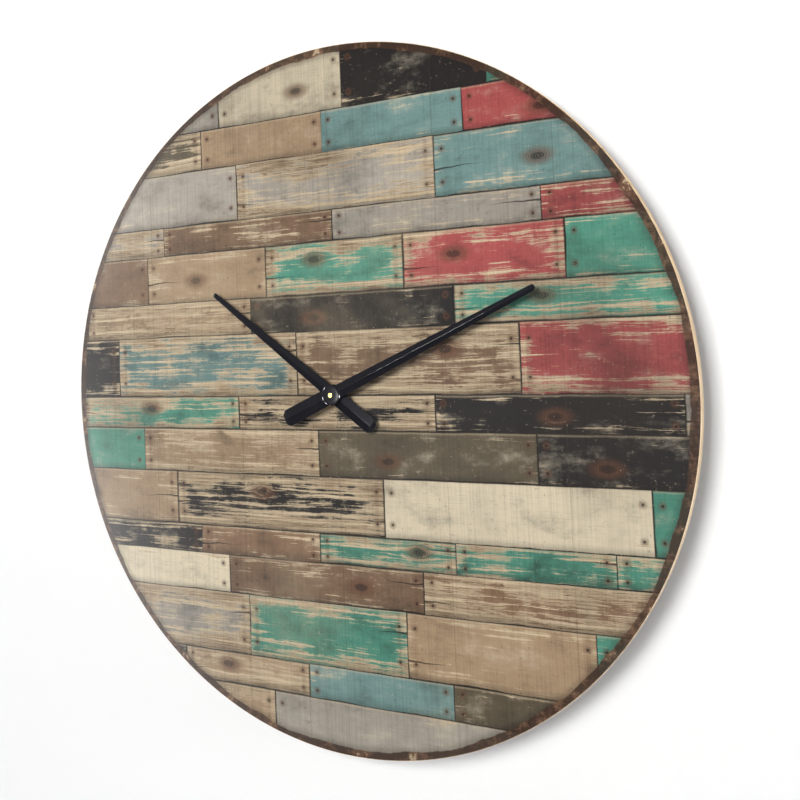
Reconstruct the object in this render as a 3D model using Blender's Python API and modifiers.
"""Round wooden wall clock with a battery quartz movement, two hands and a steel wall hanger.

Everything is modelled in the clock's own frame: X to the viewer's right, Y up the dial, and Z the
distance from the wall. One empty turns that frame upright, so that the finished clock has +Z up, faces
-Y, and has its origin where the axis of the hands meets the wall.
"""
import math

import bmesh
import bpy
from mathutils import Vector

MM = 0.001

# Clearances that whole groups of pieces share
GAP = 0.3 * MM
RUNNING_GAP = 0.6 * MM
CUT_OVERRUN = 1.0 * MM
MERGE_DISTANCE = 0.01 * MM

# Pine panel
PANEL_RADIUS = 292.0 * MM
PANEL_THICK = 10.0 * MM
PANEL_EDGE_ROUND = 0.6 * MM
PANEL_HOLE_CLEAR = 0.4 * MM

# Movement case. Its width, depth and bottom follow from the battery, the wheels and the motor.
CASE_TOP = 28.0 * MM
CASE_WALL = 1.4 * MM
CASE_FRONT_WALL = 1.2 * MM
CASE_CORNER = 4.0 * MM
CASE_INNER_CORNER = 2.4 * MM
PARTITION_CLEAR = 0.7 * MM
PARTITION_WALL = 1.2 * MM
CONTACT_NOTCH = 1.5 * MM
LEDGE_SIDE = 3.0 * MM
COVER_THICK = 1.4 * MM

# Gear bridge
BRIDGE_DROP = 2.0 * MM
BRIDGE_THICK = 1.0 * MM
BRIDGE_RIGHT_CLEAR = 6.1 * MM
BRIDGE_CORNER = 1.5 * MM
BRIDGE_POST_RADIUS = 1.6 * MM
BRIDGE_PIN_RADIUS = 0.8 * MM
BRIDGE_POST_INSET = 2.1 * MM

# Wheels and their arbors
WHEEL_THICK = 0.8 * MM
PINION_OVERRUN = 0.2 * MM
PIVOT_RADIUS = 0.35 * MM
ARBOR_RADIUS = 0.5 * MM
PIVOT_SEAT_DEPTH = 0.6 * MM
POST_RADIUS = 0.7 * MM

# Tooth counts and modules of each pair that meshes
MINUTE_PINION_TEETH = 12
MOTION_WHEEL_TEETH = 36
MOTION_PINION_TEETH = 10
HOUR_WHEEL_TEETH = 40
THIRD_PINION_TEETH = 8
MINUTE_WHEEL_TEETH = 64
SECONDS_PINION_TEETH = 8
THIRD_WHEEL_TEETH = 60
ROTOR_PINION_TEETH = 6
INTERMEDIATE_WHEEL_TEETH = 36
INTERMEDIATE_PINION_TEETH = 10
SECONDS_WHEEL_TEETH = 50
SETTING_GEAR_TEETH = 12
PINION_MOST_TEETH = 16
MINUTE_PINION_MODULE = 0.40 * MM
MINUTE_WHEEL_MODULE = 0.28 * MM
INTERMEDIATE_PINION_MODULE = 0.34 * MM
ROTOR_PINION_MODULE = 0.25 * MM

# Tooth forms: heights in modules, half widths in shares of the tooth pitch. Wheels have pointed teeth.
TOOTH_TIP_MODULES = 0.85
PINION_ROOT_MODULES = 1.15
WHEEL_ROOT_MODULES = 1.45
PINION_TIP_SHARE = 0.07
PINION_ROOT_SHARE = 0.27
WHEEL_ROOT_SHARE = 0.5

# Directions of the arbors, anticlockwise from the viewer's right, in degrees
THIRD_DIRECTION = 20.0
INTERMEDIATE_DIRECTION = 110.0
ROTOR_DIRECTION = 150.0
MOTION_DIRECTION = 180.0
SETTING_DIRECTION = 135.0

# Stepping motor
MAGNET_RADIUS = 2.4 * MM
MAGNET_LENGTH = 3.2 * MM
STATOR_GAP = 0.35 * MM
STATOR_THICK = 0.8 * MM
STATOR_RING = 1.2 * MM
STATOR_BAR = 3.8 * MM
STATOR_LEG = 3.0 * MM
STATOR_LEG_CLEAR = 0.5 * MM
COIL_TOP_CLEAR = 1.7 * MM
CORE_THICK = 0.8 * MM
CORE_HEIGHT = 2.6 * MM
BOBBIN_WALL = 0.7 * MM
BOBBIN_BARREL_WALL = 0.35 * MM
BOBBIN_LENGTH = 13.0 * MM
BOBBIN_RIM = 0.4 * MM
WINDING_BUILD = 0.6 * MM

# Circuit board and what is on it
BOARD_THICK = 0.8 * MM
BOARD_HEIGHT = 6.4 * MM
BOARD_BOSS_RADIUS = 1.4 * MM
CHIP_SIDE = 4.2 * MM
CHIP_THICK = 1.0 * MM
CHIP_TO_CRYSTAL = 8.0 * MM
CRYSTAL_RADIUS = 1.0 * MM
CRYSTAL_LENGTH = 6.0 * MM
CRYSTAL_INSET = 9.6 * MM

# Battery and contacts
BATTERY_RADIUS = 7.1 * MM
BATTERY_CAN_LENGTH = 49.2 * MM
BATTERY_NUB_RADIUS = 2.75 * MM
BATTERY_NUB_LENGTH = 1.0 * MM
BATTERY_CRIMP = 0.35 * MM
BATTERY_CRIMP_INSET = 2.0 * MM
BATTERY_BACK_CLEAR = 0.25 * MM
BATTERY_FRONT_CLEAR = 0.35 * MM
BATTERY_TOP_CLEAR = 1.0 * MM
CONTACT_THICK = 0.4 * MM
CONTACT_WIDTH = 6.0 * MM
CONTACT_SPRING_LEAST = 1.0 * MM

# Bushing, nut, washer, gasket
BUSHING_WALL = 1.0 * MM
BUSHING_FLANGE_RIM = 2.0 * MM
BUSHING_FLANGE = 0.9 * MM
BUSHING_PROUD = 0.5 * MM
THREAD_PITCH = 1.5 * MM
THREAD_DEPTH = 0.35 * MM
THREAD_LENGTH = 7.0 * MM
WASHER_RIM = 2.2 * MM
WASHER_THICK = 0.7 * MM
NUT_WALL = 1.0 * MM
NUT_THICK = 2.0 * MM
GASKET_RIM = 8.0 * MM
GASKET_THICK = 0.8 * MM

# Wall hanger
HANGER_WIDTH = 20.0 * MM
HANGER_THICK = 0.8 * MM
HANGER_SET_BACK = 6.0 * MM
HANGER_BEND_CLEAR = 2.0 * MM
HANGER_BEND_LENGTH = 6.0 * MM
HANGER_TAB = 18.0 * MM
HANGER_TOP_CORNER = 5.0 * MM
HANGER_SLOT_WIDTH = 8.0 * MM
HANGER_SLOT_HEIGHT = 11.0 * MM
HANGER_SLOT_BELOW_TOP = 4.5 * MM

# Setting knob
KNOB_RADIUS = 5.2 * MM
KNOB_THICK = 1.8 * MM
KNOB_SUNK = 0.5 * MM
KNOB_BOSS_RADIUS = 1.9 * MM
KNOB_BOSS = 0.5 * MM
KNOB_RIBS = 24
KNOB_RIB_DEPTH = 0.35 * MM
KNOB_SLOT_LENGTH = 5.2 * MM
KNOB_SLOT_WIDTH = 0.7 * MM
KNOB_SLOT_DEPTH = 0.6 * MM
# Round the knob, each groove as (share of a rib's spacing, share of the groove's depth)
KNOB_GROOVE_SHARES = ((0.0, 0.0), (0.5, 0.0), (0.6, 1.0), (0.9, 1.0))
SETTING_ARBOR_RADIUS = 1.2 * MM
SETTING_PIVOT_RADIUS = 0.6 * MM

# Hands: lengths from the axis, and widths across
MINUTE_TIP = 196.0 * MM
MINUTE_TAIL = 51.0 * MM
MINUTE_ROOT_WIDTH = 11.6 * MM
MINUTE_TIP_WIDTH = 5.0 * MM
MINUTE_TAIL_WIDTH = 14.4 * MM
HOUR_TIP = 150.0 * MM
HOUR_TAIL = 46.0 * MM
HOUR_ROOT_WIDTH = 10.8 * MM
HOUR_TIP_WIDTH = 4.2 * MM
HOUR_TAIL_WIDTH = 13.4 * MM
HAND_SHEET = 0.5 * MM
HAND_RIDGE = 1.0 * MM
HAND_TIP_RIDGE = 0.5 * MM
HAND_TIP_CUT = 1.2 * MM
HAND_TAIL_CUT = 3.2 * MM
HUB_RADIUS = 8.75 * MM
HUB_THICK = 2.0 * MM
HUB_ROUND = 0.7 * MM
HUB_DOME = 0.5 * MM
HAND_CLEARANCE = 0.9 * MM
MINUTE_HAND_CLEARANCE = 1.1 * MM
SECONDS_PIN_RADIUS = 0.5 * MM
SECONDS_PIN_CLEAR = 0.35 * MM
SECONDS_PIN_SUNK = 0.6 * MM
ARBOR_TUBE_WALL = 0.95 * MM
ARBOR_PROUD = 0.5 * MM
HOUR_TUBE_WALL = 0.6 * MM
HOUR_TUBE_PROUD = 0.3 * MM
COLLET_WALL = 0.8 * MM

# Rest angles of the hands, clockwise from twelve, in degrees
MINUTE_ANGLE = 66.3
HOUR_ANGLE = 306.5

# Sides of a round shape, by how large it is
DISC_SIDES = 120
ROUND_SIDES = 24
SMALL_SIDES = 16
PIN_SIDES = 12
CORNER_STEPS = 4

# Tubes on the axis, from the seconds pin out to the hole in the panel
ARBOR_TUBE_BORE = SECONDS_PIN_RADIUS + SECONDS_PIN_CLEAR
ARBOR_TUBE_RADIUS = ARBOR_TUBE_BORE + ARBOR_TUBE_WALL
HOUR_TUBE_BORE = ARBOR_TUBE_RADIUS + GAP
HOUR_TUBE_RADIUS = HOUR_TUBE_BORE + HOUR_TUBE_WALL
BUSHING_BORE = HOUR_TUBE_RADIUS + GAP
BUSHING_RADIUS = BUSHING_BORE + BUSHING_WALL


def layer_back(index):
    """Depth of the back face of a wheel in one of the six layers, counted from the bridge."""
    return BRIDGE_FRONT + RUNNING_GAP + index * (WHEEL_THICK + RUNNING_GAP)


# Depths from the wall that follow from the sizes above
BRIDGE_BACK = COVER_THICK + BRIDGE_DROP
BRIDGE_FRONT = BRIDGE_BACK + BRIDGE_THICK
INTERMEDIATE_LAYER = layer_back(0)
SECONDS_LAYER = layer_back(1)
THIRD_LAYER = layer_back(2)
MINUTE_LAYER = layer_back(3)
MOTION_LAYER = layer_back(4)
HOUR_LAYER = layer_back(5)
WHEELS_NEED = HOUR_LAYER + WHEEL_THICK + RUNNING_GAP + BUSHING_FLANGE + GAP
BATTERY_NEEDS = BATTERY_BACK_CLEAR + 2 * BATTERY_RADIUS + BATTERY_FRONT_CLEAR
CASE_FRONT_INSIDE = max(WHEELS_NEED, BATTERY_NEEDS)
CASE_DEPTH = CASE_FRONT_INSIDE + CASE_FRONT_WALL
HANGER_BACK = CASE_DEPTH + GAP
GASKET_BACK = HANGER_BACK + HANGER_THICK + GAP
PANEL_BACK = GASKET_BACK + GASKET_THICK + GAP
PANEL_FRONT = PANEL_BACK + PANEL_THICK
WASHER_BACK = PANEL_FRONT + GAP
NUT_BACK = WASHER_BACK + WASHER_THICK + GAP
BUSHING_FRONT = NUT_BACK + NUT_THICK + BUSHING_PROUD
HOUR_HAND_BACK = BUSHING_FRONT + HAND_CLEARANCE
HOUR_HAND_FRONT = HOUR_HAND_BACK + HUB_THICK
HOUR_TUBE_FRONT = HOUR_HAND_FRONT + HOUR_TUBE_PROUD
MINUTE_HAND_BACK = HOUR_HAND_FRONT + MINUTE_HAND_CLEARANCE
MINUTE_HAND_FRONT = MINUTE_HAND_BACK + HUB_THICK
ARBOR_FRONT = MINUTE_HAND_FRONT + ARBOR_PROUD

def pair_distance(first_teeth, second_teeth, module):
    return (first_teeth + second_teeth) * module / 2


def pair_module(first_teeth, second_teeth, distance):
    return 2 * distance / (first_teeth + second_teeth)


def polar(distance, degrees, centre=(0.0, 0.0)):
    angle = math.radians(degrees)
    return (centre[0] + distance * math.cos(angle), centre[1] + distance * math.sin(angle))


# Distances and modules of the pairs that share two axes
MOTION_DISTANCE = pair_distance(MINUTE_PINION_TEETH, MOTION_WHEEL_TEETH, MINUTE_PINION_MODULE)
HOUR_WHEEL_MODULE = pair_module(MOTION_PINION_TEETH, HOUR_WHEEL_TEETH, MOTION_DISTANCE)
THIRD_DISTANCE = pair_distance(THIRD_PINION_TEETH, MINUTE_WHEEL_TEETH, MINUTE_WHEEL_MODULE)
THIRD_WHEEL_MODULE = pair_module(SECONDS_PINION_TEETH, THIRD_WHEEL_TEETH, THIRD_DISTANCE)
INTERMEDIATE_DISTANCE = pair_distance(INTERMEDIATE_PINION_TEETH, SECONDS_WHEEL_TEETH,
                                      INTERMEDIATE_PINION_MODULE)
ROTOR_DISTANCE = pair_distance(ROTOR_PINION_TEETH, INTERMEDIATE_WHEEL_TEETH, ROTOR_PINION_MODULE)
SETTING_DISTANCE = pair_distance(SETTING_GEAR_TEETH, MOTION_WHEEL_TEETH, MINUTE_PINION_MODULE)

# Centres of the arbors in the dial plane
AXIS = (0.0, 0.0)
THIRD_AT = polar(THIRD_DISTANCE, THIRD_DIRECTION)
INTERMEDIATE_AT = polar(INTERMEDIATE_DISTANCE, INTERMEDIATE_DIRECTION)
ROTOR_AT = polar(ROTOR_DISTANCE, ROTOR_DIRECTION, INTERMEDIATE_AT)
MOTION_AT = polar(MOTION_DISTANCE, MOTION_DIRECTION)
SETTING_AT = polar(SETTING_DISTANCE, SETTING_DIRECTION, MOTION_AT)


# Motor: the bobbin fits round the core, the winding on it, and the stator's legs past its ends
BOBBIN_BARREL_RADIUS = math.hypot(CORE_HEIGHT / 2 + GAP, CORE_THICK / 2 + GAP) + BOBBIN_BARREL_WALL
WINDING_RADIUS = BOBBIN_BARREL_RADIUS + GAP + WINDING_BUILD
BOBBIN_FLANGE_RADIUS = WINDING_RADIUS + BOBBIN_RIM
STATOR_HALF_LENGTH = BOBBIN_LENGTH / 2 + STATOR_LEG_CLEAR + STATOR_LEG

# Case walls in the dial plane: the battery or the motor sets the width, and with the minute wheel the bottom
BATTERY_LENGTH = BATTERY_CAN_LENGTH + BATTERY_NUB_LENGTH
CONTACTS_LENGTH = 2 * (CONTACT_THICK + GAP) + 2 * GAP
BRIDGE_LEFT = ROTOR_AT[0] - STATOR_HALF_LENGTH - RUNNING_GAP - BRIDGE_POST_RADIUS - BRIDGE_POST_INSET
INSIDE_X = max((BATTERY_LENGTH + CONTACTS_LENGTH + CONTACT_SPRING_LEAST) / 2, GAP - BRIDGE_LEFT)
CONTACT_SPRING_RISE = 2 * INSIDE_X - BATTERY_LENGTH - CONTACTS_LENGTH
CASE_HALF_WIDTH = INSIDE_X + CASE_WALL
MINUTE_WHEEL_TIP = (MINUTE_WHEEL_TEETH / 2 + TOOTH_TIP_MODULES) * MINUTE_WHEEL_MODULE
PARTITION_TOP = -MINUTE_WHEEL_TIP - PARTITION_CLEAR
PARTITION_BOTTOM = PARTITION_TOP - PARTITION_WALL
INSIDE_TOP = CASE_TOP - CASE_WALL
INSIDE_BOTTOM = PARTITION_BOTTOM - BATTERY_TOP_CLEAR - 2 * BATTERY_RADIUS - GAP
CASE_BOTTOM = INSIDE_BOTTOM - CASE_WALL
BOARD_BOTTOM = INSIDE_TOP - LEDGE_SIDE - GAP - BOARD_HEIGHT
BRIDGE_RIGHT = INSIDE_X - BRIDGE_RIGHT_CLEAR
BRIDGE_TOP = BOARD_BOTTOM - GAP
COIL_Y = INSIDE_TOP - COIL_TOP_CLEAR - BOBBIN_FLANGE_RADIUS
HANGER_BEND_START = CASE_TOP + HANGER_BEND_CLEAR
HANGER_BEND_END = HANGER_BEND_START + HANGER_BEND_LENGTH
HANGER_TOP = HANGER_BEND_END + HANGER_TAB
HANGER_SLOT_TOP = HANGER_TOP - HANGER_SLOT_BELOW_TOP
HANGER_SLOT_BOTTOM = HANGER_SLOT_TOP - HANGER_SLOT_HEIGHT


# Scene, collections and materials

for old in list(bpy.data.objects):
    bpy.data.objects.remove(old, do_unlink=True)

clock = bpy.data.collections.new("wall_clock")
helpers = bpy.data.collections.new("cutters")
bpy.context.scene.collection.children.link(clock)
bpy.context.scene.collection.children.link(helpers)

upright = bpy.data.objects.new("clock_frame", None)
upright.rotation_euler = (math.radians(90), 0, 0)
clock.objects.link(upright)


def material(name, colour, roughness, metallic=0.0):
    made = bpy.data.materials.new(name)
    made.use_nodes = True
    shader = made.node_tree.nodes["Principled BSDF"]
    shader.inputs["Base Color"].default_value = (*colour, 1.0)
    shader.inputs["Roughness"].default_value = roughness
    shader.inputs["Metallic"].default_value = metallic
    return made


PINE = material("printed_pine", (0.42, 0.34, 0.25), 0.55)
BLACK_LACQUER = material("black_lacquer", (0.012, 0.012, 0.018), 0.18)
BRASS = material("brass", (0.80, 0.58, 0.22), 0.28, 1.0)
STEEL = material("plated_steel", (0.62, 0.62, 0.60), 0.35, 1.0)
BLACK_PLASTIC = material("black_plastic", (0.022, 0.022, 0.024), 0.45)
WHITE_PLASTIC = material("white_plastic", (0.78, 0.78, 0.74), 0.40)
RUBBER = material("black_rubber", (0.02, 0.02, 0.02), 0.80)
BOARD_GREEN = material("board_green", (0.03, 0.16, 0.07), 0.45)
COPPER = material("copper_wire", (0.72, 0.32, 0.16), 0.35, 1.0)
MAGNET_GREY = material("magnet_grey", (0.10, 0.10, 0.11), 0.50, 0.6)
CELL_WRAP = material("cell_wrap", (0.10, 0.22, 0.34), 0.35)


# Ways of making a solid

def show(obj, finish):
    """Put a finished piece in the clock's collection, in its upright frame."""
    obj.data.materials.clear()
    obj.data.materials.append(finish)
    if obj.name not in clock.objects:
        clock.objects.link(obj)
    obj.parent = upright
    return obj


def put(piece, at, depth):
    piece.location = (at[0], at[1], depth)
    return piece


def mesh_object(name, mesh):
    made = bpy.data.objects.new(name, mesh)
    made.parent = upright
    return made


def cylinder(name, radius, length, sides=ROUND_SIDES):
    """A solid cylinder that stands on its origin, along the depth axis."""
    mesh = bpy.data.meshes.new(name)
    shape = bmesh.new()
    bmesh.ops.create_cone(shape, cap_ends=True, segments=sides, radius1=radius, radius2=radius, depth=length)
    bmesh.ops.translate(shape, verts=shape.verts, vec=(0, 0, length / 2))
    shape.to_mesh(mesh)
    shape.free()
    return mesh_object(name, mesh)


def box(name, low, high):
    """A box between two corners of the clock's frame."""
    mesh = bpy.data.meshes.new(name)
    shape = bmesh.new()
    bmesh.ops.create_cube(shape, size=1.0)
    size = Vector(high) - Vector(low)
    middle = (Vector(high) + Vector(low)) / 2
    bmesh.ops.scale(shape, verts=shape.verts, vec=size)
    bmesh.ops.translate(shape, verts=shape.verts, vec=middle)
    shape.to_mesh(mesh)
    shape.free()
    return mesh_object(name, mesh)


def turned(name, profile, sides=ROUND_SIDES, closed=False):
    """A shape turned round the depth axis from (radius, depth) points, listed down its outer side."""
    mesh = bpy.data.meshes.new(name)
    count = len(profile)
    edges = [(i, i + 1) for i in range(count - 1)]
    if closed:
        edges.append((count - 1, 0))
    mesh.from_pydata([(radius, 0.0, depth) for radius, depth in profile], edges, [])
    made = mesh_object(name, mesh)
    screw = made.modifiers.new("turn", "SCREW")
    screw.axis = "Z"
    screw.steps = sides
    screw.render_steps = sides
    screw.use_merge_vertices = True
    screw.merge_threshold = MERGE_DISTANCE
    screw.use_smooth_shade = False
    return made


def ring(name, inner, outer, thick, sides=ROUND_SIDES):
    return turned(name, [(outer, thick), (outer, 0.0), (inner, 0.0), (inner, thick)], sides, closed=True)


def plate(name, outline, thick, holes=()):
    """A flat piece from an outline in the dial plane, standing on its origin, with holes cut through."""
    curve = bpy.data.curves.new(name, "CURVE")
    curve.dimensions = "2D"
    curve.fill_mode = "BOTH"
    curve.extrude = thick / 2
    for loop in (outline, *holes):
        spline = curve.splines.new("POLY")
        spline.points.add(len(loop) - 1)
        for point, (x, y) in zip(spline.points, loop):
            point.co = (x, y, 0.0, 1.0)
        spline.use_cyclic_u = True
    source = bpy.data.objects.new(name + "_outline", curve)
    helpers.objects.link(source)
    bpy.context.view_layer.update()
    graph = bpy.context.evaluated_depsgraph_get()
    mesh = bpy.data.meshes.new_from_object(source.evaluated_get(graph), depsgraph=graph)
    mesh.name = name
    bpy.data.objects.remove(source, do_unlink=True)
    shape = bmesh.new()
    shape.from_mesh(mesh)
    bmesh.ops.remove_doubles(shape, verts=shape.verts, dist=MERGE_DISTANCE)
    bmesh.ops.translate(shape, verts=shape.verts, vec=(0, 0, thick / 2))
    bmesh.ops.recalc_face_normals(shape, faces=shape.faces)
    shape.to_mesh(mesh)
    shape.free()
    return mesh_object(name, mesh)


def combine(target, tool, operation):
    """Join or cut a piece with a helper object, which the finished part leaves out."""
    if tool.name not in helpers.objects:
        helpers.objects.link(tool)
    tool.hide_render = True
    tool.display_type = "WIRE"
    step = target.modifiers.new(operation.lower(), "BOOLEAN")
    step.operation = operation
    step.object = tool
    return target


def join(target, *tools):
    for tool in tools:
        combine(target, tool, "UNION")
    return target


def cut(target, *tools):
    for tool in tools:
        combine(target, tool, "DIFFERENCE")
    return target


# Outlines in the dial plane

def circle(centre, radius, sides=SMALL_SIDES):
    return [polar(radius, 360 * i / sides, centre) for i in range(sides)]


def rounded_rectangle(left, bottom, right, top, corner):
    points = []
    corners = ((right - corner, top - corner, 0), (left + corner, top - corner, 90),
               (left + corner, bottom + corner, 180), (right - corner, bottom + corner, 270))
    for x, y, start in corners:
        for step in range(CORNER_STEPS + 1):
            points.append(polar(corner, start + 90 * step / CORNER_STEPS, (x, y)))
    return points


def obround(x, bottom, top, width, steps=CORNER_STEPS * 2):
    """A slot with round ends, upright, around x."""
    radius = width / 2
    upper = [polar(radius, 180 * i / steps, (x, top - radius)) for i in range(steps + 1)]
    lower = [polar(radius, 180 + 180 * i / steps, (x, bottom + radius)) for i in range(steps + 1)]
    return upper + lower


def teeth_outline(teeth, module, phase):
    """A toothed outline round the origin, with one tooth centred at the phase, in radians."""
    pitch = 2 * math.pi / teeth
    middle = teeth * module / 2
    tip = middle + TOOTH_TIP_MODULES * module
    if teeth > PINION_MOST_TEETH:
        corners = ((middle - WHEEL_ROOT_MODULES * module, -WHEEL_ROOT_SHARE), (tip, 0.0))
    else:
        root = middle - PINION_ROOT_MODULES * module
        corners = ((root, -PINION_ROOT_SHARE), (tip, -PINION_TIP_SHARE),
                   (tip, PINION_TIP_SHARE), (root, PINION_ROOT_SHARE))
    points = []
    for tooth in range(teeth):
        for radius, share in corners:
            angle = phase + (tooth + share) * pitch
            points.append((radius * math.cos(angle), radius * math.sin(angle)))
    return points


def meshing_phase(teeth, phase, mate_teeth, centre, mate_centre):
    """Phase of the mate that puts a gap where the first gear has a tooth."""
    direction = math.atan2(mate_centre[1] - centre[1], mate_centre[0] - centre[0])
    return direction + math.pi + (math.pi - (phase - direction) * teeth) / mate_teeth


def toothed(name, teeth, module, phase, back, front, at):
    return put(plate(name, teeth_outline(teeth, module, phase), front - back), at, back)


# Phases of all the gears, each from the one that it meshes with
MINUTE_PINION_PHASE = 0.0
MOTION_WHEEL_PHASE = meshing_phase(MINUTE_PINION_TEETH, MINUTE_PINION_PHASE, MOTION_WHEEL_TEETH,
                                   AXIS, MOTION_AT)
SETTING_PHASE = meshing_phase(MOTION_WHEEL_TEETH, MOTION_WHEEL_PHASE, SETTING_GEAR_TEETH,
                              MOTION_AT, SETTING_AT)
MOTION_PINION_PHASE = 0.0
HOUR_WHEEL_PHASE = meshing_phase(MOTION_PINION_TEETH, MOTION_PINION_PHASE, HOUR_WHEEL_TEETH, MOTION_AT, AXIS)
MINUTE_WHEEL_PHASE = 0.0
THIRD_PINION_PHASE = meshing_phase(MINUTE_WHEEL_TEETH, MINUTE_WHEEL_PHASE, THIRD_PINION_TEETH,
                                   AXIS, THIRD_AT)
THIRD_WHEEL_PHASE = 0.0
SECONDS_PINION_PHASE = meshing_phase(THIRD_WHEEL_TEETH, THIRD_WHEEL_PHASE, SECONDS_PINION_TEETH,
                                     THIRD_AT, AXIS)
SECONDS_WHEEL_PHASE = 0.0
INTERMEDIATE_PINION_PHASE = meshing_phase(SECONDS_WHEEL_TEETH, SECONDS_WHEEL_PHASE,
                                          INTERMEDIATE_PINION_TEETH, AXIS, INTERMEDIATE_AT)
INTERMEDIATE_WHEEL_PHASE = 0.0
ROTOR_PHASE = meshing_phase(INTERMEDIATE_WHEEL_TEETH, INTERMEDIATE_WHEEL_PHASE, ROTOR_PINION_TEETH,
                            INTERMEDIATE_AT, ROTOR_AT)


# Panel and its fixing

def dial_panel():
    hole = BUSHING_RADIUS + PANEL_HOLE_CLEAR
    profile = [(hole, PANEL_THICK),
               (PANEL_RADIUS - PANEL_EDGE_ROUND, PANEL_THICK),
               (PANEL_RADIUS, PANEL_THICK - PANEL_EDGE_ROUND),
               (PANEL_RADIUS, PANEL_EDGE_ROUND),
               (PANEL_RADIUS - PANEL_EDGE_ROUND, 0.0),
               (hole, 0.0)]
    show(put(turned("dial_panel", profile, DISC_SIDES, closed=True), AXIS, PANEL_BACK), PINE)


def threaded_bushing():
    """A flanged tube with thread ridges round its front end, where the nut sits."""
    flange_back = CASE_FRONT_INSIDE - GAP - BUSHING_FLANGE
    flange_radius = BUSHING_RADIUS + BUSHING_FLANGE_RIM
    length = BUSHING_FRONT - flange_back
    root = BUSHING_RADIUS - THREAD_DEPTH
    profile = [(BUSHING_BORE, length), (root, length)]
    for turn in range(int(THREAD_LENGTH / THREAD_PITCH)):
        crest = length - (turn + 0.5) * THREAD_PITCH
        profile += [(BUSHING_RADIUS, crest), (root, crest - THREAD_PITCH / 2)]
    profile += [(BUSHING_RADIUS, profile[-1][1] - THREAD_DEPTH), (BUSHING_RADIUS, BUSHING_FLANGE),
                (flange_radius, BUSHING_FLANGE), (flange_radius, 0.0), (BUSHING_BORE, 0.0)]
    show(put(turned("threaded_bushing", profile, closed=True), AXIS, flange_back), BRASS)


def washer_nut_and_gasket():
    hole = BUSHING_RADIUS + GAP
    washer = ring("washer", hole, BUSHING_RADIUS + WASHER_RIM, WASHER_THICK)
    show(put(washer, AXIS, WASHER_BACK), BRASS)
    flat = BUSHING_RADIUS + NUT_WALL
    corner = flat / math.cos(math.radians(30))
    nut = plate("hex_nut", circle(AXIS, corner, 6), NUT_THICK, [circle(AXIS, hole, ROUND_SIDES)])
    show(put(nut, AXIS, NUT_BACK), BRASS)
    gasket = ring("gasket", hole, BUSHING_RADIUS + GASKET_RIM, GASKET_THICK)
    show(put(gasket, AXIS, GASKET_BACK), RUBBER)


def wall_hanger():
    """A steel strip, flat behind the gasket and set back above the case, with a slot for the wall screw."""
    half = HANGER_WIDTH / 2
    back = HANGER_BACK
    tab_back = back - HANGER_SET_BACK
    slope = math.hypot(HANGER_BEND_LENGTH, HANGER_SET_BACK)
    lean = HANGER_THICK * (slope - HANGER_BEND_LENGTH) / HANGER_SET_BACK
    side = [(-half - CUT_OVERRUN, back), (HANGER_BEND_START, back), (HANGER_BEND_END, tab_back),
            (HANGER_TOP + CUT_OVERRUN, tab_back), (HANGER_TOP + CUT_OVERRUN, tab_back + HANGER_THICK),
            (HANGER_BEND_END + lean, tab_back + HANGER_THICK),
            (HANGER_BEND_START + lean, back + HANGER_THICK),
            (-half - CUT_OVERRUN, back + HANGER_THICK)]
    strip = plate("wall_hanger", side, HANGER_WIDTH + CUT_OVERRUN)
    bent = bmesh.new()
    bent.from_mesh(strip.data)
    for vert in bent.verts:
        along, depth, across = vert.co
        vert.co = (across - (HANGER_WIDTH + CUT_OVERRUN) / 2, along, depth)
    bmesh.ops.recalc_face_normals(bent, faces=bent.faces)
    bent.to_mesh(strip.data)
    bent.free()
    foot = [polar(half, 180 + 180 * i / SMALL_SIDES) for i in range(SMALL_SIDES + 1)]
    corner_x, corner_y = half - HANGER_TOP_CORNER, HANGER_TOP - HANGER_TOP_CORNER
    turns = [90 * i / CORNER_STEPS for i in range(CORNER_STEPS + 1)]
    right = [polar(HANGER_TOP_CORNER, turn, (corner_x, corner_y)) for turn in turns]
    left = [polar(HANGER_TOP_CORNER, 90 + turn, (-corner_x, corner_y)) for turn in turns]
    holes = [circle(AXIS, BUSHING_RADIUS + GAP, ROUND_SIDES),
             obround(0.0, HANGER_SLOT_BOTTOM, HANGER_SLOT_TOP, HANGER_SLOT_WIDTH)]
    reach = HANGER_SET_BACK + HANGER_THICK + 2 * CUT_OVERRUN
    face = put(plate("hanger_face", foot + right + left, reach, holes), AXIS, tab_back - CUT_OVERRUN)
    combine(strip, face, "INTERSECT")
    show(strip, STEEL)


# Movement case

def bridge_posts():
    left = BRIDGE_LEFT + BRIDGE_POST_INSET
    right = BRIDGE_RIGHT - BRIDGE_POST_INSET
    bottom = PARTITION_TOP + GAP + BRIDGE_POST_INSET
    top = BRIDGE_TOP - BRIDGE_POST_INSET
    return [(left, bottom), (right, bottom), (right, top), (left, top)]


def core_ends():
    """The two places where the stator's legs meet the ends of the coil's core."""
    reach = STATOR_HALF_LENGTH - STATOR_LEG / 2
    return [(ROTOR_AT[0] - reach, COIL_Y), (ROTOR_AT[0] + reach, COIL_Y)]


STATOR_BACK = THIRD_LAYER
CORE_BACK = STATOR_BACK + STATOR_THICK + GAP
CORE_BOSS_TOP = CORE_BACK + CORE_THICK + GAP
COIL_DEPTH = CORE_BACK + CORE_THICK / 2
BOARD_BACK = COIL_DEPTH + BOBBIN_FLANGE_RADIUS + GAP
BOARD_FRONT = BOARD_BACK + BOARD_THICK
BOARD_HALF_WIDTH = INSIDE_X - GAP - CONTACT_THICK - GAP
BOARD_BOSSES = [(-BOARD_HALF_WIDTH + LEDGE_SIDE, BOARD_BOTTOM + BOARD_HEIGHT / 2),
                (BOARD_HALF_WIDTH - LEDGE_SIDE, BOARD_BOTTOM + BOARD_HEIGHT / 2)]


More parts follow.
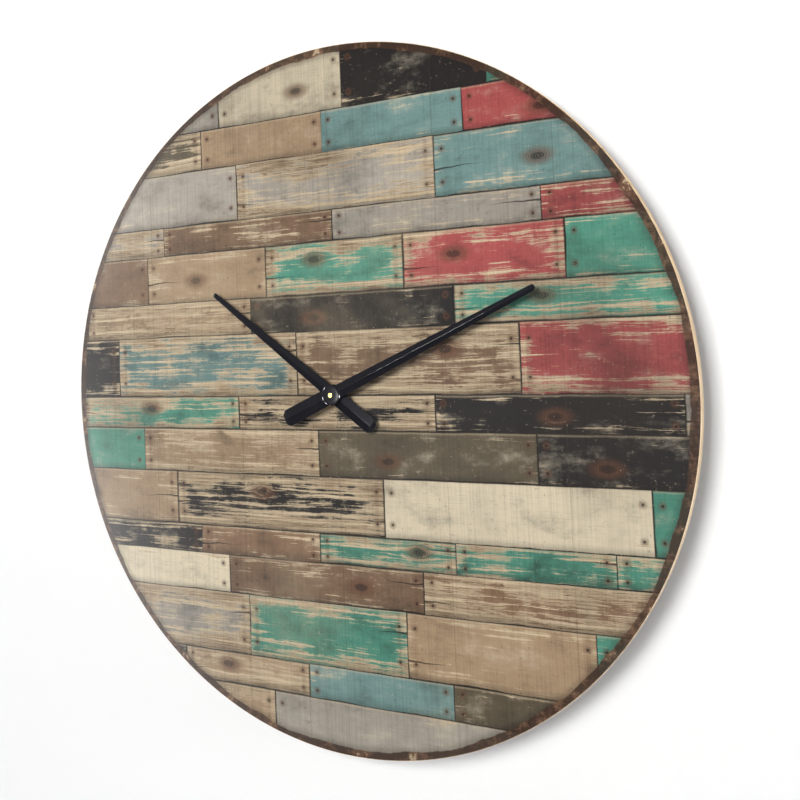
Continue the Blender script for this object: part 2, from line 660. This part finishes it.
def standing(name, at, radius, top, sides=SMALL_SIDES):
    """A post that stands on the inside of the case's front wall and ends at the depth top."""
    root = CASE_FRONT_INSIDE + CASE_FRONT_WALL / 2
    return put(cylinder(name, radius, root - top, sides), at, top)


def movement_housing():
    outline = rounded_rectangle(-CASE_HALF_WIDTH, CASE_BOTTOM, CASE_HALF_WIDTH, CASE_TOP, CASE_CORNER)
    housing = plate("movement_housing", outline, CASE_DEPTH)
    deep = CASE_FRONT_INSIDE + CUT_OVERRUN
    gears = rounded_rectangle(-INSIDE_X, PARTITION_TOP, INSIDE_X, INSIDE_TOP, CASE_INNER_CORNER)
    bay = rounded_rectangle(-INSIDE_X, INSIDE_BOTTOM, INSIDE_X, PARTITION_BOTTOM, CASE_INNER_CORNER)
    cut(housing, put(plate("gear_room", gears, deep), AXIS, -CUT_OVERRUN))
    cut(housing, put(plate("battery_room", bay, deep), AXIS, -CUT_OVERRUN))
    notch_bottom = PARTITION_BOTTOM - CASE_INNER_CORNER
    notch_top = PARTITION_TOP + CASE_INNER_CORNER
    for side in (-1, 1):
        low, high = sorted((side * INSIDE_X, side * (INSIDE_X - CONTACT_NOTCH)))
        cut(housing, box("contact_notch", (low, notch_bottom, -CUT_OVERRUN),
                         (high, notch_top, CASE_FRONT_INSIDE)))
    cut(housing, box("cover_seat", (-INSIDE_X, notch_bottom, -CUT_OVERRUN),
                     (INSIDE_X, notch_top, COVER_THICK + GAP)))
    for side in (-1, 1):
        low, high = sorted((side * (INSIDE_X - LEDGE_SIDE), side * (INSIDE_X + CASE_WALL / 2)))
        join(housing, box("cover_ledge", (low, INSIDE_TOP - LEDGE_SIDE, COVER_THICK + GAP),
                          (high, INSIDE_TOP + CASE_WALL / 2, CASE_FRONT_INSIDE + CASE_FRONT_WALL / 2)))
    for number, at in enumerate(bridge_posts()):
        join(housing, standing(f"bridge_post_{number}", at, BRIDGE_POST_RADIUS, BRIDGE_FRONT + GAP))
        join(housing, standing(f"bridge_pin_{number}", at, BRIDGE_PIN_RADIUS, BRIDGE_BACK, PIN_SIDES))
    for number, at in enumerate(core_ends()):
        join(housing, standing(f"core_boss_{number}", at, BOARD_BOSS_RADIUS, CORE_BOSS_TOP))
    for number, at in enumerate(BOARD_BOSSES):
        join(housing, standing(f"board_boss_{number}", at, BOARD_BOSS_RADIUS, BOARD_FRONT + GAP))
    post_top = MINUTE_LAYER + WHEEL_THICK + GAP
    join(housing, standing("motion_post", MOTION_AT, POST_RADIUS, post_top, PIN_SIDES))
    seat_depth = CASE_FRONT_INSIDE - CUT_OVERRUN
    seat_length = PIVOT_SEAT_DEPTH + CUT_OVERRUN
    for name, at, radius in (("third", THIRD_AT, PIVOT_RADIUS),
                             ("intermediate", INTERMEDIATE_AT, PIVOT_RADIUS),
                             ("rotor", ROTOR_AT, PIVOT_RADIUS),
                             ("setting", SETTING_AT, SETTING_PIVOT_RADIUS)):
        seat = cylinder(f"{name}_seat", radius + GAP, seat_length, PIN_SIDES)
        cut(housing, put(seat, at, seat_depth))
    shaft = cylinder("bushing_hole", BUSHING_RADIUS + GAP, CASE_FRONT_WALL + 2 * CUT_OVERRUN)
    cut(housing, put(shaft, AXIS, CASE_FRONT_INSIDE - CUT_OVERRUN))
    show(housing, BLACK_PLASTIC)


def rear_cover():
    """The lid over the gears. The battery lies open below it."""
    outline = rounded_rectangle(GAP - INSIDE_X, PARTITION_BOTTOM, INSIDE_X - GAP, INSIDE_TOP - GAP,
                                CASE_INNER_CORNER)
    hole = circle(SETTING_AT, KNOB_RADIUS + GAP, ROUND_SIDES)
    show(put(plate("rear_cover", outline, COVER_THICK, [hole]), AXIS, 0.0), BLACK_PLASTIC)


def gear_bridge():
    outline = rounded_rectangle(BRIDGE_LEFT, PARTITION_TOP + GAP, BRIDGE_RIGHT, BRIDGE_TOP, BRIDGE_CORNER)
    holes = [circle(at, BRIDGE_PIN_RADIUS + GAP, PIN_SIDES) for at in bridge_posts()]
    holes += [circle(at, PIVOT_RADIUS + GAP, PIN_SIDES) for at in (AXIS, THIRD_AT, INTERMEDIATE_AT, ROTOR_AT)]
    holes.append(circle(SETTING_AT, SETTING_ARBOR_RADIUS + GAP))
    show(put(plate("gear_bridge", outline, BRIDGE_THICK, holes), AXIS, BRIDGE_BACK), WHITE_PLASTIC)


# Wheels

PIVOT_BACK = BRIDGE_BACK + BRIDGE_THICK / 4
PIVOT_FRONT = CASE_FRONT_INSIDE + PIVOT_SEAT_DEPTH / 2


def pivot(name, at, back=PIVOT_BACK, front=PIVOT_FRONT, radius=PIVOT_RADIUS):
    return put(cylinder(name, radius, front - back, PIN_SIDES), at, back)


def wheel_with_pinion(name, at, wheel, pinion, pinion_back, pinion_front, finish):
    """A toothed wheel and its pinion on one arbor, moulded as one piece that turns about its origin."""
    teeth, module, phase, layer = wheel
    base = toothed(name, teeth, module, phase, layer, layer + WHEEL_THICK, at)
    leaves, leaf_module, leaf_phase = pinion
    join(base, toothed(name + "_leaves", leaves, leaf_module, leaf_phase, pinion_back, pinion_front, at))
    return show(base, finish)


def going_train():
    """From the motor's wheel to the minute wheel."""
    inter = wheel_with_pinion(
        "intermediate_wheel", INTERMEDIATE_AT,
        (INTERMEDIATE_WHEEL_TEETH, ROTOR_PINION_MODULE, INTERMEDIATE_WHEEL_PHASE, INTERMEDIATE_LAYER),
        (INTERMEDIATE_PINION_TEETH, INTERMEDIATE_PINION_MODULE, INTERMEDIATE_PINION_PHASE),
        INTERMEDIATE_LAYER + WHEEL_THICK / 2, SECONDS_LAYER + WHEEL_THICK + PINION_OVERRUN, WHITE_PLASTIC)
    join(inter, pivot("intermediate_pivot", INTERMEDIATE_AT))
    seconds = wheel_with_pinion(
        "seconds_wheel", AXIS,
        (SECONDS_WHEEL_TEETH, INTERMEDIATE_PINION_MODULE, SECONDS_WHEEL_PHASE, SECONDS_LAYER),
        (SECONDS_PINION_TEETH, THIRD_WHEEL_MODULE, SECONDS_PINION_PHASE),
        SECONDS_LAYER + WHEEL_THICK / 2, THIRD_LAYER + WHEEL_THICK + PINION_OVERRUN, WHITE_PLASTIC)
    join(seconds, pivot("seconds_pivot", AXIS, PIVOT_BACK, SECONDS_LAYER + WHEEL_THICK / 2))
    third = wheel_with_pinion(
        "third_wheel", THIRD_AT,
        (THIRD_WHEEL_TEETH, THIRD_WHEEL_MODULE, THIRD_WHEEL_PHASE, THIRD_LAYER),
        (THIRD_PINION_TEETH, MINUTE_WHEEL_MODULE, THIRD_PINION_PHASE),
        THIRD_LAYER + WHEEL_THICK / 2, MINUTE_LAYER + WHEEL_THICK + PINION_OVERRUN, WHITE_PLASTIC)
    join(third, pivot("third_pivot", THIRD_AT))
    minute = toothed("minute_wheel", MINUTE_WHEEL_TEETH, MINUTE_WHEEL_MODULE, MINUTE_WHEEL_PHASE,
                     MINUTE_LAYER, MINUTE_LAYER + WHEEL_THICK, AXIS)
    bore = cylinder("minute_bore", ARBOR_TUBE_RADIUS + GAP, WHEEL_THICK + 2 * CUT_OVERRUN)
    show(cut(minute, put(bore, AXIS, MINUTE_LAYER - CUT_OVERRUN)), WHITE_PLASTIC)


def seconds_pin():
    back = THIRD_LAYER + WHEEL_THICK + PINION_OVERRUN + GAP
    front = ARBOR_FRONT - SECONDS_PIN_SUNK
    show(put(cylinder("seconds_pin", SECONDS_PIN_RADIUS, front - back, SMALL_SIDES), AXIS, back), STEEL)


def minute_arbor():
    """A brass tube with the minute pinion cut on it. The hand sits on its front end."""
    length = ARBOR_FRONT - MINUTE_LAYER
    arbor = put(cylinder("minute_arbor", ARBOR_TUBE_RADIUS, length), AXIS, MINUTE_LAYER)
    join(arbor, toothed("minute_leaves", MINUTE_PINION_TEETH, MINUTE_PINION_MODULE, MINUTE_PINION_PHASE,
                        MINUTE_LAYER + WHEEL_THICK + GAP, MOTION_LAYER + WHEEL_THICK + PINION_OVERRUN, AXIS))
    bore = cylinder("arbor_bore", ARBOR_TUBE_BORE, length + 2 * CUT_OVERRUN, SMALL_SIDES)
    cut(arbor, put(bore, AXIS, MINUTE_LAYER - CUT_OVERRUN))
    show(arbor, BRASS)


def motion_work():
    """The wheels that gear the hour hand down from the minute hand, and the setting gear."""
    motion = wheel_with_pinion(
        "motion_wheel", MOTION_AT,
        (MOTION_WHEEL_TEETH, MINUTE_PINION_MODULE, MOTION_WHEEL_PHASE, MOTION_LAYER),
        (MOTION_PINION_TEETH, HOUR_WHEEL_MODULE, MOTION_PINION_PHASE),
        MOTION_LAYER + WHEEL_THICK / 2, HOUR_LAYER + WHEEL_THICK + PINION_OVERRUN, WHITE_PLASTIC)
    bore_length = HOUR_LAYER + WHEEL_THICK + PINION_OVERRUN - MOTION_LAYER + 2 * CUT_OVERRUN
    bore = cylinder("motion_bore", POST_RADIUS + GAP, bore_length, PIN_SIDES)
    cut(motion, put(bore, MOTION_AT, MOTION_LAYER - CUT_OVERRUN))

    hour = toothed("hour_wheel", HOUR_WHEEL_TEETH, HOUR_WHEEL_MODULE, HOUR_WHEEL_PHASE,
                   HOUR_LAYER, HOUR_LAYER + WHEEL_THICK, AXIS)
    tube_back = HOUR_LAYER + WHEEL_THICK / 2
    join(hour, put(cylinder("hour_tube", HOUR_TUBE_RADIUS, HOUR_TUBE_FRONT - tube_back), AXIS, tube_back))
    bore = cylinder("hour_bore", HOUR_TUBE_BORE, HOUR_TUBE_FRONT - HOUR_LAYER + 2 * CUT_OVERRUN)
    show(cut(hour, put(bore, AXIS, HOUR_LAYER - CUT_OVERRUN)), WHITE_PLASTIC)

    setting = toothed("setting_gear", SETTING_GEAR_TEETH, MINUTE_PINION_MODULE, SETTING_PHASE,
                      MOTION_LAYER - PINION_OVERRUN, MOTION_LAYER + WHEEL_THICK + PINION_OVERRUN, SETTING_AT)
    arbor_back = COVER_THICK + KNOB_BOSS + KNOB_SUNK + GAP + GAP
    join(setting, pivot("setting_arbor", SETTING_AT, arbor_back, MOTION_LAYER, SETTING_ARBOR_RADIUS))
    join(setting, pivot("setting_pivot", SETTING_AT, MOTION_LAYER, PIVOT_FRONT, SETTING_PIVOT_RADIUS))
    show(setting, WHITE_PLASTIC)


def setting_knob():
    """A ribbed disc, sunk in the rear cover, that sets the hands."""
    outline = []
    for rib in range(KNOB_RIBS):
        for along, deep in KNOB_GROOVE_SHARES:
            outline.append(polar(KNOB_RADIUS - deep * KNOB_RIB_DEPTH, 360 * (rib + along) / KNOB_RIBS))
    knob = put(plate("setting_knob", outline, KNOB_THICK), SETTING_AT, KNOB_SUNK)
    boss_front = COVER_THICK + KNOB_BOSS + KNOB_SUNK + GAP
    boss_back = KNOB_SUNK + KNOB_THICK / 2
    join(knob, put(cylinder("knob_boss", KNOB_BOSS_RADIUS, boss_front - boss_back, SMALL_SIDES),
                   SETTING_AT, boss_back))
    x, y = SETTING_AT
    slot = box("knob_slot", (x - KNOB_SLOT_LENGTH / 2, y - KNOB_SLOT_WIDTH / 2, -CUT_OVERRUN),
               (x + KNOB_SLOT_LENGTH / 2, y + KNOB_SLOT_WIDTH / 2, KNOB_SUNK + KNOB_SLOT_DEPTH))
    cut(knob, slot)
    show(knob, BLACK_PLASTIC)


# Stepping motor

def rotor():
    magnet_back = STATOR_BACK + STATOR_THICK / 2 - MAGNET_LENGTH / 2
    magnet = ring("rotor_magnet", ARBOR_RADIUS + GAP, MAGNET_RADIUS, MAGNET_LENGTH)
    show(put(magnet, ROTOR_AT, magnet_back), MAGNET_GREY)
    pinion_front = INTERMEDIATE_LAYER + WHEEL_THICK + PINION_OVERRUN / 2
    pinion = toothed("rotor_pinion", ROTOR_PINION_TEETH, ROTOR_PINION_MODULE, ROTOR_PHASE,
                     INTERMEDIATE_LAYER - PINION_OVERRUN, pinion_front, ROTOR_AT)
    arbor_front = magnet_back + MAGNET_LENGTH + GAP
    join(pinion, pivot("rotor_arbor", ROTOR_AT, INTERMEDIATE_LAYER, arbor_front, ARBOR_RADIUS))
    join(pinion, pivot("rotor_pivot", ROTOR_AT))
    show(pinion, WHITE_PLASTIC)


def stator():
    """An iron plate round the magnet, above the intermediate arbor, with two legs up to the coil."""
    x = ROTOR_AT[0]
    left, right = x - STATOR_HALF_LENGTH, x + STATOR_HALF_LENGTH
    bar_bottom = INTERMEDIATE_AT[1] + PIVOT_RADIUS + RUNNING_GAP
    bar_top = bar_bottom + STATOR_BAR
    top = COIL_Y + CORE_HEIGHT / 2
    ring_radius = MAGNET_RADIUS + STATOR_GAP + STATOR_RING
    outline = [(left, bar_bottom), (right, bar_bottom), (right, top),
               (right - STATOR_LEG, top), (right - STATOR_LEG, bar_top),
               (left + STATOR_LEG, bar_top), (left + STATOR_LEG, top), (left, top)]
    plate_body = put(plate("stator", outline, STATOR_THICK), AXIS, STATOR_BACK)
    join(plate_body, put(cylinder("stator_ring", ring_radius, STATOR_THICK), ROTOR_AT, STATOR_BACK))
    bore = cylinder("stator_bore", MAGNET_RADIUS + STATOR_GAP, STATOR_THICK + 2 * CUT_OVERRUN)
    cut(plate_body, put(bore, ROTOR_AT, STATOR_BACK - CUT_OVERRUN))
    show(plate_body, STEEL)


def coil():
    """Iron core, plastic bobbin and copper winding, along X above the rotor."""
    middle_x = ROTOR_AT[0]
    middle_y = COIL_Y
    core = box("coil_core", (middle_x - STATOR_HALF_LENGTH, middle_y - CORE_HEIGHT / 2, CORE_BACK),
               (middle_x + STATOR_HALF_LENGTH, middle_y + CORE_HEIGHT / 2, CORE_BACK + CORE_THICK))
    show(core, STEEL)
    half = BOBBIN_LENGTH / 2
    profile = [(0.0, half), (BOBBIN_FLANGE_RADIUS, half), (BOBBIN_FLANGE_RADIUS, half - BOBBIN_WALL),
               (BOBBIN_BARREL_RADIUS, half - BOBBIN_WALL), (BOBBIN_BARREL_RADIUS, BOBBIN_WALL - half),
               (BOBBIN_FLANGE_RADIUS, BOBBIN_WALL - half), (BOBBIN_FLANGE_RADIUS, -half), (0.0, -half)]
    bobbin = turned("coil_bobbin", profile)
    bobbin.location = (middle_x, middle_y, COIL_DEPTH)
    bobbin.rotation_euler = (0, math.radians(90), 0)
    slot_half = CORE_HEIGHT / 2 + GAP
    slot = box("bobbin_slot", (middle_x - half - CUT_OVERRUN, middle_y - slot_half, CORE_BACK - GAP),
               (middle_x + half + CUT_OVERRUN, middle_y + slot_half, CORE_BACK + CORE_THICK + GAP))
    show(cut(bobbin, slot), WHITE_PLASTIC)
    winding_half = half - BOBBIN_WALL - GAP
    winding = ring("coil_winding", BOBBIN_BARREL_RADIUS + GAP, WINDING_RADIUS, 2 * winding_half)
    winding.location = (middle_x - winding_half, middle_y, COIL_DEPTH)
    winding.rotation_euler = (0, math.radians(90), 0)
    show(winding, COPPER)


def circuit_board():
    outline = rounded_rectangle(-BOARD_HALF_WIDTH, BOARD_BOTTOM, BOARD_HALF_WIDTH,
                                BOARD_BOTTOM + BOARD_HEIGHT, BRIDGE_CORNER / 2)
    holes = [circle(at, BOARD_BOSS_RADIUS + GAP) for at in core_ends()]
    show(put(plate("circuit_board", outline, BOARD_THICK, holes), AXIS, BOARD_BACK), BOARD_GREEN)
    middle = BOARD_BOTTOM + BOARD_HEIGHT / 2
    crystal_x = BOARD_HALF_WIDTH - CRYSTAL_INSET
    chip_x = crystal_x - CHIP_TO_CRYSTAL
    chip_front = BOARD_BACK - GAP
    chip = box("chip", (chip_x - CHIP_SIDE / 2, middle - CHIP_SIDE / 2, chip_front - CHIP_THICK),
               (chip_x + CHIP_SIDE / 2, middle + CHIP_SIDE / 2, chip_front))
    show(chip, BLACK_PLASTIC)
    crystal = cylinder("quartz_crystal", CRYSTAL_RADIUS, CRYSTAL_LENGTH, SMALL_SIDES)
    crystal.rotation_euler = (0, math.radians(90), 0)
    crystal.location = (crystal_x - CRYSTAL_LENGTH / 2, middle, BOARD_BACK - GAP - CRYSTAL_RADIUS)
    show(crystal, STEEL)


# Battery and contacts

BATTERY_Y = INSIDE_BOTTOM + GAP + BATTERY_RADIUS
BATTERY_DEPTH = BATTERY_BACK_CLEAR + BATTERY_RADIUS
BATTERY_NUB_END = INSIDE_X - GAP - CONTACT_THICK - GAP


def battery():
    can_end = BATTERY_NUB_END - BATTERY_NUB_LENGTH
    can_start = BATTERY_NUB_END - BATTERY_LENGTH
    crimp = can_end - BATTERY_CRIMP_INSET
    profile = [(0.0, BATTERY_NUB_END), (BATTERY_NUB_RADIUS, BATTERY_NUB_END), (BATTERY_NUB_RADIUS, can_end),
               (BATTERY_RADIUS - BATTERY_CRIMP, can_end), (BATTERY_RADIUS, can_end - BATTERY_CRIMP),
               (BATTERY_RADIUS, crimp + BATTERY_CRIMP), (BATTERY_RADIUS - BATTERY_CRIMP, crimp),
               (BATTERY_RADIUS, crimp - BATTERY_CRIMP), (BATTERY_RADIUS, can_start + BATTERY_CRIMP),
               (BATTERY_RADIUS - BATTERY_CRIMP, can_start), (0.0, can_start)]
    cell = turned("battery", profile)
    cell.rotation_euler = (0, math.radians(90), 0)
    cell.location = (0, BATTERY_Y, BATTERY_DEPTH)
    show(cell, CELL_WRAP)


def contact(name, side, spring):
    """A metal strip up the side of the case, from the end of the battery to the circuit board."""
    outer = side * (INSIDE_X - GAP)
    inner = side * (INSIDE_X - GAP - CONTACT_THICK)
    bottom = BATTERY_Y - CONTACT_WIDTH / 2
    top = BOARD_BOTTOM + BOARD_HEIGHT - LEDGE_SIDE / 2
    outline = [(outer, bottom), (outer, top), (inner, top)]
    if spring:
        crest = inner - side * spring
        shoulder, crest_half = CONTACT_WIDTH / 2, CONTACT_WIDTH / 6
        outline += [(inner, BATTERY_Y + shoulder), (crest, BATTERY_Y + crest_half),
                    (crest, BATTERY_Y - crest_half)]
    outline.append((inner, bottom))
    strip = put(plate(name, outline, CONTACT_WIDTH), AXIS, BATTERY_DEPTH - CONTACT_WIDTH / 2)
    show(strip, STEEL)


# Hands

def hand_surface(name, tip, tail, root_width, tip_width, tail_width):
    """The sheet of one hand along +Y: two facets that meet in a ridge, with cut corners at both ends."""
    stations = ((-tail, tail_width / 2 - HAND_TAIL_CUT, HAND_TIP_RIDGE),
                (HAND_TAIL_CUT - tail, tail_width / 2, HAND_RIDGE),
                (-HUB_RADIUS / 2, tail_width / 2, HAND_RIDGE),
                (HUB_RADIUS / 2, root_width / 2, HAND_RIDGE),
                (tip - HAND_TIP_CUT, tip_width / 2, HAND_TIP_RIDGE),
                (tip, tip_width / 2 - HAND_TIP_CUT, HAND_TIP_RIDGE / 2))
    mesh = bpy.data.meshes.new(name)
    shape = bmesh.new()
    rows = []
    for along, half, rise in stations:
        points = ((-half, along, 0.0), (0.0, along, rise), (half, along, 0.0))
        rows.append([shape.verts.new(point) for point in points])
    for lower, upper in zip(rows, rows[1:]):
        for column in range(2):
            shape.faces.new((lower[column], lower[column + 1], upper[column + 1], upper[column]))
    shape.to_mesh(mesh)
    shape.free()
    made = mesh_object(name, mesh)
    thick = made.modifiers.new("sheet", "SOLIDIFY")
    thick.thickness = HAND_SHEET
    thick.offset = 1.0
    thick.use_even_offset = True
    return made


def hub_profile():
    top = HUB_THICK
    return [(0.0, top), (HUB_RADIUS / 2, top - HUB_DOME / 4), (HUB_RADIUS - HUB_ROUND, top - HUB_DOME),
            (HUB_RADIUS, top - HUB_DOME - HUB_ROUND), (HUB_RADIUS, 0.0), (0.0, 0.0)]


def hand(name, sizes, back, bore_radius, angle):
    """One hand: the folded sheet and its round hub, bored for what it sits on."""
    turn = (0, 0, math.radians(-angle))
    made = put(hand_surface(name, *sizes), AXIS, back + HUB_THICK / 4)
    made.rotation_euler = turn
    join(made, put(turned(name + "_hub", hub_profile()), AXIS, back))
    bore = cylinder(name + "_bore", bore_radius, HUB_THICK + 2 * CUT_OVERRUN)
    cut(made, put(bore, AXIS, back - CUT_OVERRUN))
    show(made, BLACK_LACQUER)


def hands():
    collet = HOUR_TUBE_RADIUS + GAP
    show(put(ring("hour_collet", collet, collet + COLLET_WALL, HUB_THICK), AXIS, HOUR_HAND_BACK), BRASS)
    hand("hour_hand", (HOUR_TIP, HOUR_TAIL, HOUR_ROOT_WIDTH, HOUR_TIP_WIDTH, HOUR_TAIL_WIDTH),
         HOUR_HAND_BACK, collet + COLLET_WALL + GAP, HOUR_ANGLE)
    hand("minute_hand", (MINUTE_TIP, MINUTE_TAIL, MINUTE_ROOT_WIDTH, MINUTE_TIP_WIDTH, MINUTE_TAIL_WIDTH),
         MINUTE_HAND_BACK, ARBOR_TUBE_RADIUS + GAP, MINUTE_ANGLE)


dial_panel()
threaded_bushing()
washer_nut_and_gasket()
wall_hanger()
movement_housing()
rear_cover()
gear_bridge()
going_train()
seconds_pin()
minute_arbor()
motion_work()
setting_knob()
rotor()
stator()
coil()
circuit_board()
battery()
contact("positive_contact", 1, 0.0)
contact("negative_contact", -1, CONTACT_SPRING_RISE)
hands()
bpy.context.view_layer.update()
